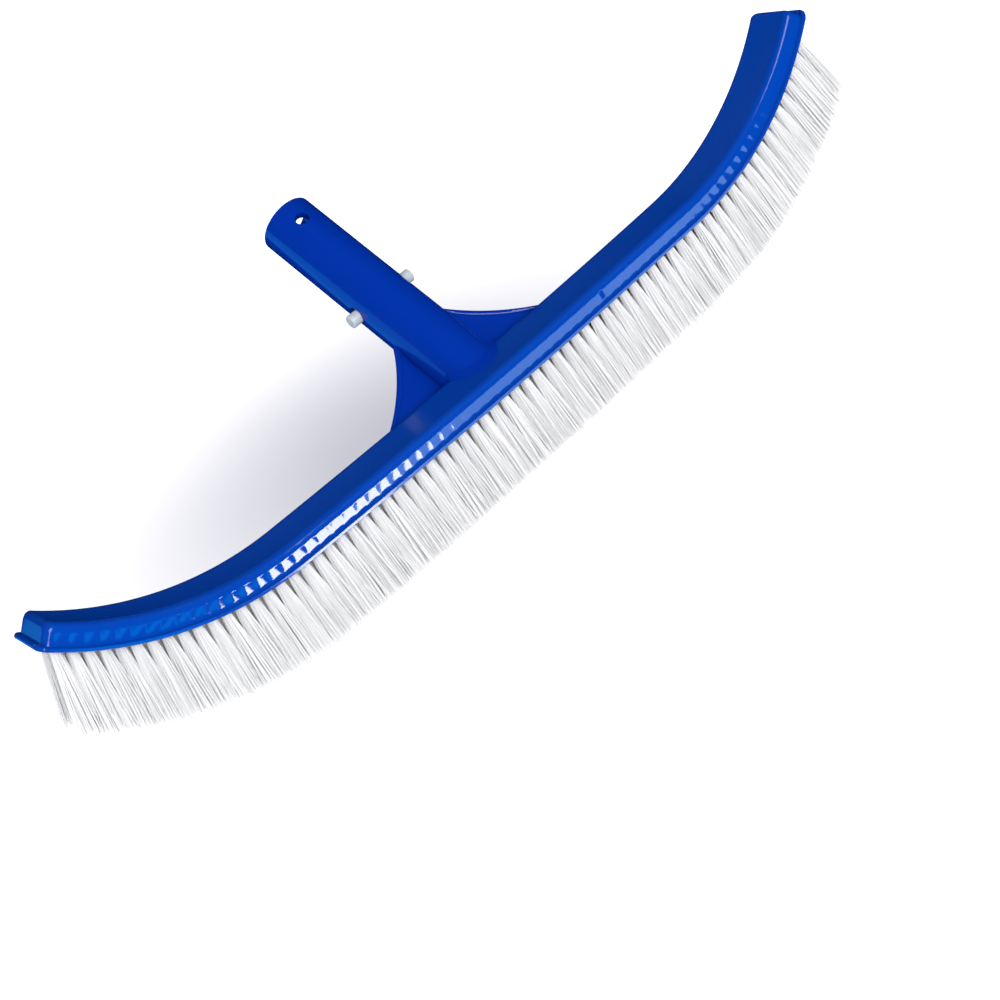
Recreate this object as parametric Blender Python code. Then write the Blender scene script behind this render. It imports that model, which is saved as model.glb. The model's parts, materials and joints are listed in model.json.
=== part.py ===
"""Curved pool wall brush with a leaning pole socket and a two-pin spring clip.

Frame: X along the brush, +Z up, bristles down, the socket leans back towards +Y.
The origin is on the floor under the middle of the bounding box, with the bristle tips at Z = 0.
"""

from math import asin, cos, pi, radians, sin, sqrt

import bmesh
import bpy
from mathutils import Matrix, Vector

MM = 0.001
GAP = 0.3 * MM                   # clearance between pieces that touch

# Head: the lower face follows a long flat arc with a tighter arc at each end.
CENTRE_RADIUS = 3.97
END_RADIUS = 0.160
CENTRE_HALF = 0.1204             # arc length from the middle to where the tight arc starts
FLANGE_HALF = 0.2411             # arc length from the middle to the flange's end
FLANGE_WIDTH = 29.4 * MM
FLANGE_THICK = 2.3 * MM
WALL_WIDTH = 26.6 * MM
WALL_SETBACK = 2.4 * MM          # the end wall stands this far inside the flange's end
HEAD_HEIGHT = 11.3 * MM
WALL_THICK = 2.3 * MM
BACK_DISH = 0.5 * MM             # hollow across the back
EDGE_RADIUS = 1.6 * MM
FLANGE_CORNER = 5.0 * MM         # plan radii
WALL_CORNER = 3.6 * MM

# Tuft block and tufts
CHANNEL_WIDTH = 21.8 * MM
CHANNEL_SETBACK = 5.2 * MM
BLOCK_CORNER = 3.4 * MM
RIDGE_WIDTH = 0.8 * MM
RIDGE_HEIGHT = 0.6 * MM
TUFT_LENGTH = 35.6 * MM
ROW_ROOTS = (-7.35 * MM, -2.45 * MM, 2.45 * MM, 7.35 * MM)
ROW_FLARE = 1.77                 # tip offset over root offset
ROOT_THICK = 3.4 * MM
TIP_THICK = (ROW_ROOTS[1] - ROW_ROOTS[0]) * ROW_FLARE - GAP
FAN = 0.335                      # share of the head's tangent angle that the tufts follow
TUFT_SETBACK = 7.6 * MM          # last tuft to the flange's end
STRIPS = 5

# Pole socket
LEAN = radians(39.4)             # socket axis above the horizontal
AXIS_OFFSET = 24.6 * MM          # where the axis meets the level of the back, from the middle
SOCKET_RADIUS = 14.2 * MM
BORE_RADIUS = 10.4 * MM
SOCKET_LENGTH = 110.0 * MM
BORE_FLOOR = 6.0 * MM
PIN_STATION = 47.8 * MM
CROSS_HOLE_STATION = 97.9 * MM
CROSS_HOLE_RADIUS = 3.4 * MM

# Spring clip
PIN_RADIUS = 3.2 * MM
PIN_CLEARANCE = 0.25 * MM
PIN_SWING = 1.9 * MM             # slot length beyond the pin, for its swing
PIN_REACH = 4.8 * MM             # how far a pin stands out of the socket
LEG_THICK = 1.8 * MM
LEG_WIDTH = 8.0 * MM
BOW_RADIUS = 2.2 * MM            # middle of the strap
BOW_STATION = 10.0 * MM
LEG_PIN_X = 8.4 * MM
LEG_TAIL = 7.0 * MM

# Fan brace
BRACE_DROP = 1.0 * MM            # plate middle below the socket axis
BRACE_THICK = 2.4 * MM
RIM_THICK = 4.4 * MM
RIM_WIDTH = 2.8 * MM
BRACE_TOP = (14.9 * MM, 24.4 * MM)       # across, along the socket axis
BRACE_FOOT = (58.0 * MM, -12.2 * MM)
BRACE_SAG = 3.6 * MM

FACE_HEIGHT = TUFT_LENGTH + GAP
DEPTH_MIN = ROW_ROOTS[0] * ROW_FLARE - TIP_THICK / 2
DEPTH_MAX = AXIS_OFFSET + SOCKET_LENGTH * cos(LEAN) + SOCKET_RADIUS * sin(LEAN)
SHIFT = Vector((0, -(DEPTH_MIN + DEPTH_MAX) / 2, FACE_HEIGHT))

BLUE = ((0.005, 0.06, 0.46, 1), 0.22, 0)
DEEP_BLUE = ((0.004, 0.05, 0.40, 1), 0.30, 0)
MILK = ((0.80, 0.82, 0.83, 1), 0.35, 0)
NYLON = ((0.86, 0.87, 0.87, 1), 0.55, 0)


def material(name, look):
    found = bpy.data.materials.get(name)
    if found:
        return found
    made = bpy.data.materials.new(name)
    made.use_nodes = True
    shader = made.node_tree.nodes["Principled BSDF"]
    colour, roughness, metallic = look
    shader.inputs["Base Color"].default_value = colour
    shader.inputs["Roughness"].default_value = roughness
    shader.inputs["Metallic"].default_value = metallic
    return made


def new_object(name, mesh_data, finish, look):
    """An object from a bmesh, smooth-shaded with its sharp edges kept."""
    bmesh.ops.recalc_face_normals(mesh_data, faces=mesh_data.faces)
    mesh = bpy.data.meshes.new(name)
    mesh_data.to_mesh(mesh)
    mesh_data.free()
    mesh.shade_smooth()
    mesh.set_sharp_from_angle(angle=radians(35))
    obj = bpy.data.objects.new(name, mesh)
    bpy.context.collection.objects.link(obj)
    mesh.materials.append(material(finish, look))
    return obj


def loft(rings):
    """A closed bmesh through rings of equally many points, capped at both ends."""
    shape = bmesh.new()
    levels = [[shape.verts.new(point) for point in ring] for ring in rings]
    count = len(levels[0])
    for low, high in zip(levels, levels[1:]):
        for i in range(count):
            j = (i + 1) % count
            shape.faces.new((low[i], low[j], high[j], high[i]))
    shape.faces.new(levels[0])
    shape.faces.new(reversed(levels[-1]))
    return shape


def boolean(obj, other, operation):
    other.hide_render = True
    other.display_type = "WIRE"
    modifier = obj.modifiers.new(f"{operation.lower()} {other.name}", "BOOLEAN")
    modifier.operation = operation
    modifier.object = other


# ---- the head's curve ----

def on_curve(s):
    """(x, z, tangent angle) of the flange's lower face at signed arc length s."""
    side = 1 if s >= 0 else -1
    length = abs(s)
    if length <= CENTRE_HALF:
        angle = length / CENTRE_RADIUS
        x, z = CENTRE_RADIUS * sin(angle), CENTRE_RADIUS * (1 - cos(angle))
    else:
        start = CENTRE_HALF / CENTRE_RADIUS
        angle = start + (length - CENTRE_HALF) / END_RADIUS
        x = CENTRE_RADIUS * sin(start) + END_RADIUS * (sin(angle) - sin(start))
        z = CENTRE_RADIUS * (1 - cos(start)) + END_RADIUS * (cos(start) - cos(angle))
    return side * x, z, side * angle


def head_point(s, y, height):
    x, z, angle = on_curve(s)
    return Vector((x - height * sin(angle), y, z + height * cos(angle))) + SHIFT


def narrowing(end_distance, half_width, corner):
    """Half width of a plan outline with rounded corners, near its end."""
    if end_distance >= corner:
        return half_width
    return half_width - corner + sqrt(corner ** 2 - (corner - end_distance) ** 2)


def stations(half_length, corner, extra=()):
    """Arc lengths from end to end: close together in the corners and the tight arcs."""
    ends = [corner * (1 - cos(pi / 2 * i / 4)) for i in range(5)] + list(extra)
    bend = half_length - CENTRE_HALF
    right = [half_length - d for d in ends]
    right += [CENTRE_HALF + bend * i / 15 for i in range(15) if bend * (15 - i) / 15 > corner + 1.5 * MM]
    right += [CENTRE_HALF * i / 4 for i in range(1, 4)]
    return sorted([-s for s in right] + [0.0] + right)


def head_rings(half_length, half_width, corner, section, extra=()):
    """Rings of section(end distance) points, swept along the head's curve."""
    rings = []
    for s in stations(half_length, corner, extra):
        end_distance = half_length - abs(s)
        share = narrowing(end_distance, half_width, corner) / half_width
        rings.append([head_point(s, y * share, h) for y, h in section(end_distance)])
    return rings


def mirrored(points):
    """A section from its +Y half, listed from the bottom up."""
    return points + [(-y, h) for y, h in reversed(points)]


def wall_section(_):
    w, h, r = WALL_WIDTH / 2, HEAD_HEIGHT, EDGE_RADIUS
    rounding = [(w - r + r * cos(a), h - r + r * sin(a)) for a in (0, pi / 6, pi / 3, pi / 2)]
    return mirrored([(w + 0.2 * MM, FLANGE_THICK / 2)] + rounding + [(w / 2, h - 0.75 * BACK_DISH)]
                    + [(2.0 * MM, h - BACK_DISH)])


def flange_section(_):
    w, t = FLANGE_WIDTH / 2, FLANGE_THICK
    return mirrored([(w - 0.9 * MM, 0), (w - 0.2 * MM, 0.18 * t), (w, 0.5 * t),
                     (w - 0.2 * MM, 0.82 * t), (w - 0.9 * MM, t)])


def channel_section(_):
    w = CHANNEL_WIDTH / 2
    return mirrored([(w, -3 * MM), (w, HEAD_HEIGHT - BACK_DISH - WALL_THICK)])


def block_section(end_distance):
    w = CHANNEL_WIDTH / 2 - GAP
    top = HEAD_HEIGHT - BACK_DISH - WALL_THICK - GAP
    field = 0 if end_distance > RIDGE_WIDTH else -RIDGE_HEIGHT
    inner = w - RIDGE_WIDTH - RIDGE_HEIGHT / 2
    half = [(inner, field), (w - RIDGE_WIDTH, -RIDGE_HEIGHT), (w, -RIDGE_HEIGHT), (w, top)]
    return mirrored(half)


def make_head():
    wall_half = FLANGE_HALF - WALL_SETBACK
    shell = new_object("back_shell", loft(head_rings(wall_half, WALL_WIDTH / 2, WALL_CORNER, wall_section)),
                       "shell_blue", BLUE)
    flange = new_object("flange_form", loft(head_rings(FLANGE_HALF, FLANGE_WIDTH / 2, FLANGE_CORNER,
                                                       flange_section)), "shell_blue", BLUE)
    channel = new_object("channel_form", loft(head_rings(FLANGE_HALF - CHANNEL_SETBACK, CHANNEL_WIDTH / 2,
                                                         BLOCK_CORNER + GAP, channel_section)),
                         "shell_blue", BLUE)
    boolean(shell, flange, "UNION")
    boolean(shell, channel, "DIFFERENCE")
    extra = (RIDGE_WIDTH, RIDGE_WIDTH + RIDGE_HEIGHT / 2)
    new_object("tuft_block", loft(head_rings(FLANGE_HALF - CHANNEL_SETBACK - GAP, CHANNEL_WIDTH / 2 - GAP,
                                             BLOCK_CORNER, block_section, extra)), "block_blue", DEEP_BLUE)


def tuft_ring(s, root_y):
    """Four corners of a tuft row's slice: roots under the block's face, tips fanned out."""
    x, z, angle = on_curve(s)
    lean = FAN * angle
    out = Vector((sin(lean), 0, -cos(lean)))
    root = Vector((x, root_y, z)) + SHIFT + out * GAP
    tip = root + out * TUFT_LENGTH + Vector((0, root_y * (ROW_FLARE - 1), 0))
    root_half = Vector((0, ROOT_THICK / 2, 0))
    spread = Vector((0, TIP_THICK / 2, 0))
    return [root - root_half, root + root_half, tip + spread, tip - spread]


def make_tufts():
    reach = FLANGE_HALF - TUFT_SETBACK
    pitch = 2 * reach / STRIPS
    for row, root_y in enumerate(ROW_ROOTS, 1):
        for strip in range(STRIPS):
            start = -reach + strip * pitch + GAP
            length = pitch - 2 * GAP
            steps = 3 if strip == STRIPS // 2 else 8
            rings = [tuft_ring(start + length * i / steps, root_y) for i in range(steps + 1)]
            new_object(f"tuft_row_{row}_strip_{strip + 1}", loft(rings), "nylon", NYLON)


# ---- the pole socket, in its own directions ----

ALONG = Vector((0, cos(LEAN), sin(LEAN)))
UPPER = Vector((0, -sin(LEAN), cos(LEAN)))       # faces up and forward
SOCKET_FOOT = Vector((0, AXIS_OFFSET, HEAD_HEIGHT)) + SHIFT


def socket_point(across, upward, along):
    return SOCKET_FOOT + Vector((across, 0, 0)) + UPPER * upward + ALONG * along


def turned_to(direction):
    return Vector((0, 0, 1)).rotation_difference(direction).to_matrix().to_4x4()


def cylinder(name, start, direction, length, radius, sides=40):
    shape = bmesh.new()
    bmesh.ops.create_cone(shape, cap_ends=True, segments=sides, radius1=radius, radius2=radius, depth=length)
    place = Matrix.Translation(start + direction * length / 2) @ turned_to(direction)
    bmesh.ops.transform(shape, matrix=place, verts=shape.verts)
    return new_object(name, shape, "shell_blue", BLUE)


def box_form(name, low, high):
    corners = [Vector((x, y, z)) for z in (low[2], high[2])
               for x, y in ((low[0], low[1]), (high[0], low[1]), (high[0], high[1]), (low[0], high[1]))]
    return new_object(name, loft([corners[:4], corners[4:]]), "shell_blue", BLUE)


def slot_form(name, side):
    """Cutter for a pin's hole: round towards the head, drawn out towards the mouth for the pin's swing."""
    radius = PIN_RADIUS + PIN_CLEARANCE
    outline = [(radius * cos(a), radius * sin(a)) for a in (pi + pi * i / 10 for i in range(11))]
    outline += [(radius * cos(a), PIN_SWING + radius * sin(a)) for a in (pi * i / 10 for i in range(11))]
    rings = [[socket_point(side * across, u, PIN_STATION + v) for u, v in outline]
             for across in (BORE_RADIUS - 5 * MM, SOCKET_RADIUS + 3 * MM)]
    return new_object(name, loft(rings), "shell_blue", BLUE)


def make_socket():
    foot = -32 * MM
    socket = cylinder("pole_socket", socket_point(0, 0, foot), ALONG, SOCKET_LENGTH - foot, SOCKET_RADIUS, 48)
    bore = cylinder("bore_form", socket_point(0, 0, BORE_FLOOR), ALONG, SOCKET_LENGTH, BORE_RADIUS, 40)
    reach = SOCKET_RADIUS + 4 * MM
    cross = cylinder("cross_form", socket_point(0, -reach, CROSS_HOLE_STATION), UPPER, 2 * reach,
                     CROSS_HOLE_RADIUS, 20)
    head_top = SHIFT.z + HEAD_HEIGHT + GAP
    head_side = SHIFT.y + WALL_WIDTH / 2 + 0.2 * MM + GAP
    far = 0.1
    over_head = box_form("over_head_form", (-far, SHIFT.y - far, -far), (far, head_side, head_top))
    under = box_form("under_form", (-far, SHIFT.y - far, -far), (far, SHIFT.y + 2 * far,
                                                                SHIFT.z + FLANGE_THICK + GAP))
    for cutter in (bore, cross, slot_form("left_slot_form", -1), slot_form("right_slot_form", 1),
                   over_head, under):
        boolean(socket, cutter, "DIFFERENCE")


# ---- the fan brace: one wing each side of the socket ----

def brace_arc(share):
    """A point (across, along) on the wing's hollow outer edge, from the socket to the head."""
    (x0, v0), (x1, v1) = BRACE_TOP, BRACE_FOOT
    chord = sqrt((x1 - x0) ** 2 + (v1 - v0) ** 2)
    radius = chord ** 2 / (8 * BRACE_SAG) + BRACE_SAG / 2
    half_angle = asin(chord / 2 / radius)
    angle = half_angle * (2 * share - 1)
    along = radius * sin(angle) + chord / 2
    sag = radius * (cos(angle) - cos(half_angle))
    ux, uv = (x1 - x0) / chord, (v1 - v0) / chord
    return x0 + ux * along + uv * sag, v0 + uv * along - ux * sag


def brace_inner(share):
    """A point on the wing's inner outline: down beside the socket, then along the head."""
    x_in, v_top, v_foot = SOCKET_RADIUS + GAP, BRACE_TOP[1] - 1.6 * MM, BRACE_FOOT[1]
    if share <= 0.5:
        return x_in, v_top + (v_foot - v_top) * share / 0.5
    return x_in + (BRACE_FOOT[0] - 3.2 * MM - x_in) * (share - 0.5) / 0.5, v_foot


def wing_ring(side, share):
    """Section from the inner outline to the thick rim on the arc."""
    inner, outer = Vector(brace_inner(share)), Vector(brace_arc(share))
    span = outer - inner
    rim = outer - span * min(0.8, RIM_WIDTH / max(span.length, RIM_WIDTH))
    plate, bead = BRACE_THICK / 2, RIM_THICK / 2
    soft = rim + (outer - rim) * 0.7
    profile = [(inner, plate), (rim, plate), (rim + (outer - rim) * 0.25, bead), (soft, bead),
               (outer, bead * 0.5)]
    section = profile + [(point, -up) for point, up in reversed(profile)]
    return [socket_point(side * point[0], up - BRACE_DROP, point[1]) for point, up in section]


def make_brace():
    steps = 14
    for side, word in ((-1, "left"), (1, "right")):
        rings = [wing_ring(side, i / steps) for i in range(steps + 1)]
        new_object(f"brace_wing_{word}", loft(rings), "shell_blue", BLUE)


# ---- the spring clip inside the socket ----

def strap(name, middle_line, parent=None):
    """A flat strap of LEG_THICK along (across, along) points, LEG_WIDTH wide."""
    rings = []
    for i, point in enumerate(middle_line):
        before = Vector(middle_line[max(i - 1, 0)])
        after = Vector(middle_line[min(i + 1, len(middle_line) - 1)])
        run = (after - before).normalized()
        normal = Vector((run[1], -run[0])) * LEG_THICK / 2
        ring = []
        for edge, up in ((normal, -1), (normal, 1), (-normal, 1), (-normal, -1)):
            place = Vector(point) + edge
            ring.append(socket_point(place[0], up * LEG_WIDTH / 2, place[1]))
        rings.append(ring)
    obj = new_object(name, loft(rings), "clip_milk", MILK)
    attach(obj, parent)
    return obj


def attach(obj, parent):
    if parent:
        obj.parent = parent
        obj.matrix_parent_inverse = parent.matrix_world.inverted()


def make_pin(name, side, parent):
    """A round pin with a softened outer edge, standing on the leg's outer face."""
    start = LEG_PIN_X + LEG_THICK / 2 + GAP
    end = SOCKET_RADIUS + PIN_REACH
    levels = [(start, PIN_RADIUS), (end - 0.9 * MM, PIN_RADIUS), (end - 0.3 * MM, PIN_RADIUS - 0.25 * MM),
              (end, PIN_RADIUS - 0.9 * MM)]
    sides = 24
    rings = [[socket_point(side * across, radius * cos(2 * pi * i / sides),
                           PIN_STATION + radius * sin(2 * pi * i / sides)) for i in range(sides)]
             for across, radius in levels]
    attach(new_object(name, loft(rings), "pin_milk", MILK), parent)


def make_clip():
    bend = [(BOW_RADIUS * cos(a), BOW_STATION + BOW_RADIUS * sin(a)) for a in
            (pi + pi * i / 8 for i in range(9))]
    strap("clip_bow", bend)
    foot = BOW_STATION + GAP
    for side, word in ((-1, "left"), (1, "right")):
        pivot = bpy.data.objects.new(f"{word}_leg_pivot", None)
        pivot.location = socket_point(side * BOW_RADIUS, 0, BOW_STATION)
        bpy.context.collection.objects.link(pivot)
        bpy.context.view_layer.update()
        line = [(side * BOW_RADIUS, foot), (side * (BOW_RADIUS + 0.25 * MM), foot + 2 * MM),
                (side * LEG_PIN_X, PIN_STATION - 5 * MM), (side * LEG_PIN_X, PIN_STATION + 4 * MM),
                (side * (LEG_PIN_X - 0.8 * MM), PIN_STATION + LEG_TAIL)]
        strap(f"clip_leg_{word}", line, pivot)
        make_pin(f"snap_pin_{word}", side, pivot)


def clear_scene():
    for obj in list(bpy.data.objects):
        bpy.data.objects.remove(obj)


clear_scene()
make_head()
make_tufts()
make_socket()
make_brace()
make_clip()
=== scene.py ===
import json
from math import asin, ceil, cos, hypot, pi, radians, sin, sqrt, tau

import bpy
import numpy as np
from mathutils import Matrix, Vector


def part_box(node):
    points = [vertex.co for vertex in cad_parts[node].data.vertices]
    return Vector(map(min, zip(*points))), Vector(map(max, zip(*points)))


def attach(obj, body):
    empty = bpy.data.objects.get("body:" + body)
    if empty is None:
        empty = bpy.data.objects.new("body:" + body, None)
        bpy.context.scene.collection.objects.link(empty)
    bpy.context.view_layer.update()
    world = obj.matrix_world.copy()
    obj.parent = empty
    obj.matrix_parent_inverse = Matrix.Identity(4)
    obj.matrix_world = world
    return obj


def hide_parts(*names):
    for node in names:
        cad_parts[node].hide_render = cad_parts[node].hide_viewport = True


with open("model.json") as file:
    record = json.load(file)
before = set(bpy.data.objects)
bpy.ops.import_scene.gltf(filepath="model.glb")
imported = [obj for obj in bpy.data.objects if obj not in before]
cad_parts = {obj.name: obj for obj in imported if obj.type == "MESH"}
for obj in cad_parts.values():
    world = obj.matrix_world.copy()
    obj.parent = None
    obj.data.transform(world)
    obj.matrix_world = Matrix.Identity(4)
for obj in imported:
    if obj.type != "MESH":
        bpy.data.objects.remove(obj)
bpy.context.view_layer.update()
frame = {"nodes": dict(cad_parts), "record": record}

mm = 0.001
view = bpy.context.scene.view_settings
view.view_transform = "Standard"
cadNodes = frame["nodes"]


class Sock:
    # wraps a shader socket, so that sums on values read as sums
    def __init__(self, tree, socket):
        self.tree, self.socket = tree, socket

    def _math(self, operation, *values):
        return makeNode(self.tree, "ShaderNodeMath", {"operation": operation}, dict(enumerate(values)))

    def __add__(self, other):
        return self._math("ADD", self, other)

    def __radd__(self, other):
        return self._math("ADD", other, self)

    def __sub__(self, other):
        return self._math("SUBTRACT", self, other)

    def __rsub__(self, other):
        return self._math("SUBTRACT", other, self)

    def __mul__(self, other):
        return self._math("MULTIPLY", self, other)

    def __rmul__(self, other):
        return self._math("MULTIPLY", other, self)


def makeNode(tree, kind, settings=None, inputs=None, output=0):
    # one node: its settings first, then the values or links of its sockets
    node = tree.nodes.new(kind)
    for name, value in (settings or {}).items():
        if name == "stops":
            ramp = node.color_ramp
            ramp.elements[0].position, ramp.elements[0].color = value[0]
            ramp.elements[1].position, ramp.elements[1].color = value[-1]
            for position, colour in value[1:-1]:
                ramp.elements.new(position).color = colour
        else:
            setattr(node, name, value)
    for name, value in (inputs or {}).items():
        if isinstance(value, Sock):
            tree.links.new(value.socket, node.inputs[name])
        else:
            node.inputs[name].default_value = value
    return Sock(tree, node.outputs[output])


def newMaterial(name, constants):
    made = bpy.data.materials.new(name)
    made.use_nodes = True
    tree = made.node_tree
    shader = tree.nodes["Principled BSDF"]
    for socket, value in constants.items():
        shader.inputs[socket].default_value = value
    return made, tree, shader


def noiseAt(tree, where, scale, detail=2.0, roughness=0.5):
    return makeNode(tree, "ShaderNodeTexNoise", {},
                    {"Vector": where, "Scale": scale, "Detail": detail, "Roughness": roughness})


def mixColours(tree, factor, first, second):
    # a Mix node's colour sockets share their names with its number sockets, so they are found by identifier
    node = tree.nodes.new("ShaderNodeMix")
    node.data_type = "RGBA"
    for name, value in (("Factor_Float", factor), ("A_Color", first), ("B_Color", second)):
        socket = next(s for s in node.inputs if s.identifier == name)
        if isinstance(value, Sock):
            tree.links.new(value.socket, socket)
        else:
            socket.default_value = value
    return Sock(tree, next(s for s in node.outputs if s.identifier == "Result_Color"))


mouldedLook = {
    # the shell's blues hold more green than the socket's: a painted sky-blue reflection on the same plastic
    "colour": (0.0004, 0.036, 0.285, 1),
    "paler": (0.0006, 0.042, 0.32, 1),
    "roughness": 0.055,
    "uneven": 0.03,                # how much the gloss varies
    "satin": 0.13,                 # extra roughness where a face looks up
    "cloudScale": 26.0,
    "pelletScale": 900.0,
    "waveScale": 2.2,              # times the scale of the clouds
    "waveHeight": 0.00032,
    "waveStrength": 0.25,
}
# the socket and brace are the same plastic as the shell; their blues hold less green, the shell's extra green
# being a painted sky-blue reflection
socketLook = {**mouldedLook, "colour": (0.0004, 0.023, 0.275, 1), "paler": (0.0005, 0.028, 0.31, 1),
              "cloudScale": 17.0, "roughness": 0.1}
blockLook = {**mouldedLook, "colour": (0.0006, 0.030, 0.25, 1), "roughness": 0.24}


def mouldedBlue(name, look):
    # injection-moulded blue: slow colour clouds, uneven gloss, and a faint waviness from the mould
    made, tree, shader = newMaterial(name, {"IOR": 1.46, "Specular IOR Level": 0.45})
    where = makeNode(tree, "ShaderNodeTexCoord", output=3)
    clouds = noiseAt(tree, where, look["cloudScale"], 3.0)
    colour = mixColours(tree, clouds, look["colour"], look["paler"])
    tree.links.new(colour.socket, shader.inputs["Base Color"])
    pellets = noiseAt(tree, where, look["pelletScale"], 2.0)
    satin = makeNode(tree, "ShaderNodeAttribute", {"attribute_name": "satin"}, output=2)
    uneven = look["uneven"]
    gloss = look["roughness"] + (pellets - 0.5) * uneven + (clouds - 0.5) * uneven + satin * look["satin"]
    tree.links.new(gloss.socket, shader.inputs["Roughness"])
    waves = noiseAt(tree, where, look["cloudScale"] * look["waveScale"], 1.0)
    bump = makeNode(tree, "ShaderNodeBump", {},
                    {"Height": waves, "Strength": look["waveStrength"], "Distance": look["waveHeight"]})
    tree.links.new(bump.socket, shader.inputs["Normal"])
    return made


milkLook = {
    "colour": (0.38, 0.42, 0.46, 1),
    "paler": (0.50, 0.54, 0.58, 1),
    "roughness": 0.33,
    "uneven": 0.15,
    "cloudScale": 420.0,
    "grainHeight": 0.0002,
    "grainStrength": 0.3,
    "scatter": 0.25,
    "scatterDepth": 0.002,
}


def milkyPlastic(name, look):
    # natural translucent plastic for the clip
    made, tree, shader = newMaterial(name, {"IOR": 1.49, "Subsurface Weight": look["scatter"],
                                            "Subsurface Radius": [look["scatterDepth"]] * 3,
                                            "Subsurface Scale": 1.0})
    where = makeNode(tree, "ShaderNodeTexCoord", output=3)
    clouds = noiseAt(tree, where, look["cloudScale"], 3.0)
    colour = mixColours(tree, clouds, look["colour"], look["paler"])
    tree.links.new(colour.socket, shader.inputs["Base Color"])
    gloss = look["roughness"] + (clouds - 0.5) * look["uneven"]
    tree.links.new(gloss.socket, shader.inputs["Roughness"])
    bump = makeNode(tree, "ShaderNodeBump", {},
                    {"Height": clouds, "Strength": look["grainStrength"], "Distance": look["grainHeight"]})
    tree.links.new(bump.socket, shader.inputs["Normal"])
    return made


nylonLook = {
    # root: greyer, a painted shade where the filaments crowd into the tuft
    "root": (0.87, 0.87, 0.88, 1),
    "middle": (0.925, 0.925, 0.93, 1),
    "tip": (0.92, 0.92, 0.925, 1),
    "grey": (0.70, 0.71, 0.73, 1),
    "through": (0.93, 0.93, 0.935, 1),
    "roughness": 0.42,
    "uneven": 0.15,
    "greyShare": 0.1,              # most of the grey that a filament takes
    "rootEnd": 0.3,                # share of the length where the root's painted shade ends
    "throughShare": 0.42,          # share of the light that passes through
}


def nylonFibre(name, look):
    # white monofilament that lets some light through: each one has its own tone, and painted shade makes it
    # greyer at the root
    made, tree, shader = newMaterial(name, {"IOR": 1.53, "Specular IOR Level": 0.3})
    shade = makeNode(tree, "ShaderNodeAttribute", {"attribute_name": "fibreShade"}, output=2)
    along = makeNode(tree, "ShaderNodeAttribute", {"attribute_name": "fibreAlong"}, output=2)
    stops = [(0.0, look["root"]), (look["rootEnd"], look["middle"]), (1.0, look["tip"])]
    ramp = makeNode(tree, "ShaderNodeValToRGB", {"stops": stops}, {"Fac": along})
    tone = makeNode(tree, "ShaderNodeMapRange", {},
                    {"Value": shade, "To Min": 0.0, "To Max": look["greyShare"]})
    colour = mixColours(tree, tone, ramp, look["grey"])
    tree.links.new(colour.socket, shader.inputs["Base Color"])
    gloss = look["roughness"] + shade * look["uneven"]
    tree.links.new(gloss.socket, shader.inputs["Roughness"])
    through = makeNode(tree, "ShaderNodeBsdfTranslucent", {}, {"Color": look["through"]})
    solid = Sock(tree, shader.outputs["BSDF"])
    both = makeNode(tree, "ShaderNodeMixShader", {}, {0: look["throughShare"], 1: solid, 2: through})
    tree.links.new(both.socket, tree.nodes["Material Output"].inputs["Surface"])
    return made


blueShell = mouldedBlue("shellBlue", mouldedLook)
blueSocket = mouldedBlue("socketBlue", socketLook)
blueBlock = mouldedBlue("blockBlue", blockLook)
milk = milkyPlastic("clipMilk", milkLook)
nylon = nylonFibre("nylonWhite", nylonLook)
print("materials made")


def deselectAll():
    if bpy.context.mode != "OBJECT":
        bpy.ops.object.mode_set(mode="OBJECT")
    bpy.ops.object.select_all(action="DESELECT")


def takeUp(piece):
    deselectAll()
    piece.select_set(True)
    bpy.context.view_layer.objects.active = piece


def applyModifier(piece, kind, name, **settings):
    takeUp(piece)
    modifier = piece.modifiers.new(name, kind)
    for key, value in settings.items():
        setattr(modifier, key, value)
    bpy.ops.object.modifier_apply(modifier=modifier.name)


def finishPiece(piece, finish, body, nodes=(), angle=35):
    takeUp(piece)
    bpy.ops.object.shade_smooth_by_angle(angle=radians(angle))
    piece.data.materials.clear()
    piece.data.materials.append(finish)
    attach(piece, body)
    if nodes:
        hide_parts(*nodes)


weldGap = 0.004 * mm               # points closer than this become one


def sweepPiece(name, rings):
    # a skin through rings of equally many points: one outline, extruded step by step, then set in place
    count, steps = len(rings[0]), len(rings) - 1
    deselectAll()
    bpy.ops.mesh.primitive_circle_add(vertices=count, radius=1, location=(0, 0, 0))
    piece = bpy.context.object
    piece.name = piece.data.name = name
    bpy.ops.object.mode_set(mode="EDIT")
    bpy.ops.mesh.select_all(action="SELECT")
    bpy.ops.mesh.extrude_repeat(steps=steps, offset=(0, 0, 1))
    bpy.ops.object.mode_set(mode="OBJECT")
    places = np.zeros(len(piece.data.vertices) * 3, np.float32)
    piece.data.vertices.foreach_get("co", places)
    places = places.reshape(-1, 3)
    level = np.round(places[:, 2]).astype(int)
    turn = np.round(np.arctan2(places[:, 1], places[:, 0]) / tau * count).astype(int) % count
    ringPoints = np.array([[tuple(point) for point in ring] for ring in rings], np.float32)
    piece.data.vertices.foreach_set("co", ringPoints[level, turn].ravel())
    ends = [np.flatnonzero(level == 0), np.flatnonzero(level == steps)]
    bpy.ops.object.mode_set(mode="EDIT")
    bpy.ops.mesh.select_mode(type="VERT")
    for end in ends:
        bpy.ops.mesh.select_all(action="DESELECT")
        bpy.ops.object.mode_set(mode="OBJECT")
        picked = np.zeros(len(piece.data.vertices), bool)
        picked[end] = True
        piece.data.vertices.foreach_set("select", picked)
        bpy.ops.object.mode_set(mode="EDIT")
        bpy.ops.mesh.edge_face_add()
    bpy.ops.mesh.select_all(action="SELECT")
    bpy.ops.mesh.remove_doubles(threshold=weldGap)
    bpy.ops.mesh.dissolve_degenerate(threshold=weldGap)
    bpy.ops.mesh.select_all(action="SELECT")
    bpy.ops.mesh.normals_make_consistent(inside=False)
    bpy.ops.object.mode_set(mode="OBJECT")
    return piece


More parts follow.
